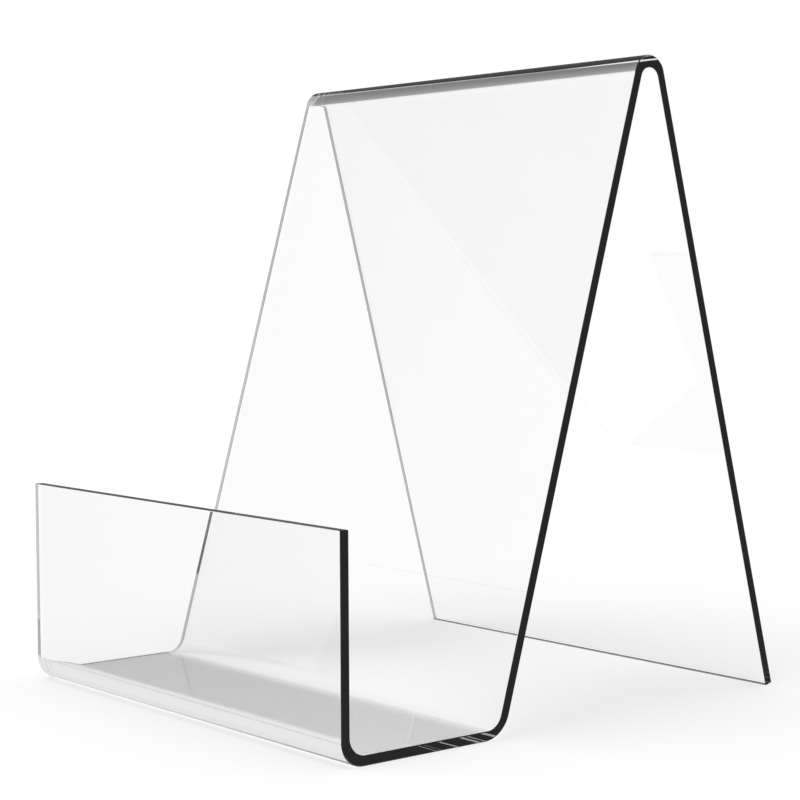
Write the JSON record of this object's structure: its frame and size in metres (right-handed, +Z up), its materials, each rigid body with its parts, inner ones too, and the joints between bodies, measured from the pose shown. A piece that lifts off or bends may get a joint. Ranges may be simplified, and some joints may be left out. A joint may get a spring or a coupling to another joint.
{
  "type": "book display stand",
  "caption": "Clear bent-sheet stand with an upright lip, a flat tray, a leaning back-rest and a folded rear leg, to show a book upright.",
  "frame": {"origin": "centre of the bounding box, on the surface that the stand rests on", "axes": "+Z up, +X along the width and the bend lines, the lip and the book's front cover face -Y, the leg is at +Y"},
  "size_m": [0.165, 0.1774, 0.2],
  "materials": {
    "clear_acrylic": "clear, polished faces and polished cut edges"
  },
  "bodies": {
    "root": {"bent_acrylic_sheet": "clear_acrylic"}
  },
  "joints": []
}
